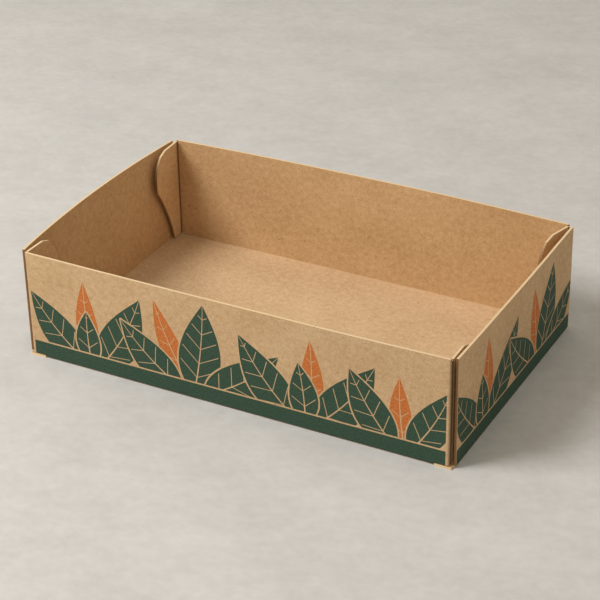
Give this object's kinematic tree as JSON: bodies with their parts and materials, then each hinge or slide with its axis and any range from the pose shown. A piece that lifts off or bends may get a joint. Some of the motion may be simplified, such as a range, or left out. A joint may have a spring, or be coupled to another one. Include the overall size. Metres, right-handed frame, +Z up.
{
  "type": "cardboard tray box",
  "caption": "Open rectangular tray folded from one sheet of kraft board, with loose rounded corner flaps tucked inside the side walls.",
  "frame": {"origin": "middle of the floor panel's underside, on the surface the tray stands on", "axes": "+X along the tray's length, +Y from the front wall to the back wall, +Z up; the printed front faces -Y"},
  "size_m": [0.3109, 0.1955, 0.076],
  "materials": {
    "kraft_board": "matte"
  },
  "bodies": {
    "tray": {"tray": "kraft_board"},
    "flap_front_left": {"flap_front_left": "kraft_board"},
    "flap_front_right": {"flap_front_right": "kraft_board"},
    "flap_back_left": {"flap_back_left": "kraft_board"},
    "flap_back_right": {"flap_back_right": "kraft_board"}
  },
  "joints": [
    {"name": "fold_front_left", "type": "hinge", "parent": "tray", "child": "flap_front_left", "pos_m": [-0.1479, -0.0929, 0.039], "axis": [0, 0, -1], "range_deg": [-3.5, 78.5]},
    {"name": "fold_front_right", "type": "hinge", "parent": "tray", "child": "flap_front_right", "pos_m": [0.1479, -0.0929, 0.039], "axis": [0, 0, 1], "range_deg": [-3, 79]},
    {"name": "fold_back_left", "type": "hinge", "parent": "tray", "child": "flap_back_left", "pos_m": [-0.1479, 0.0929, 0.039], "axis": [0, 0, 1], "range_deg": [-4, 78]},
    {"name": "fold_back_right", "type": "hinge", "parent": "tray", "child": "flap_back_right", "pos_m": [0.1479, 0.0929, 0.039], "axis": [0, 0, -1], "range_deg": [-17, 65]}
  ]
}
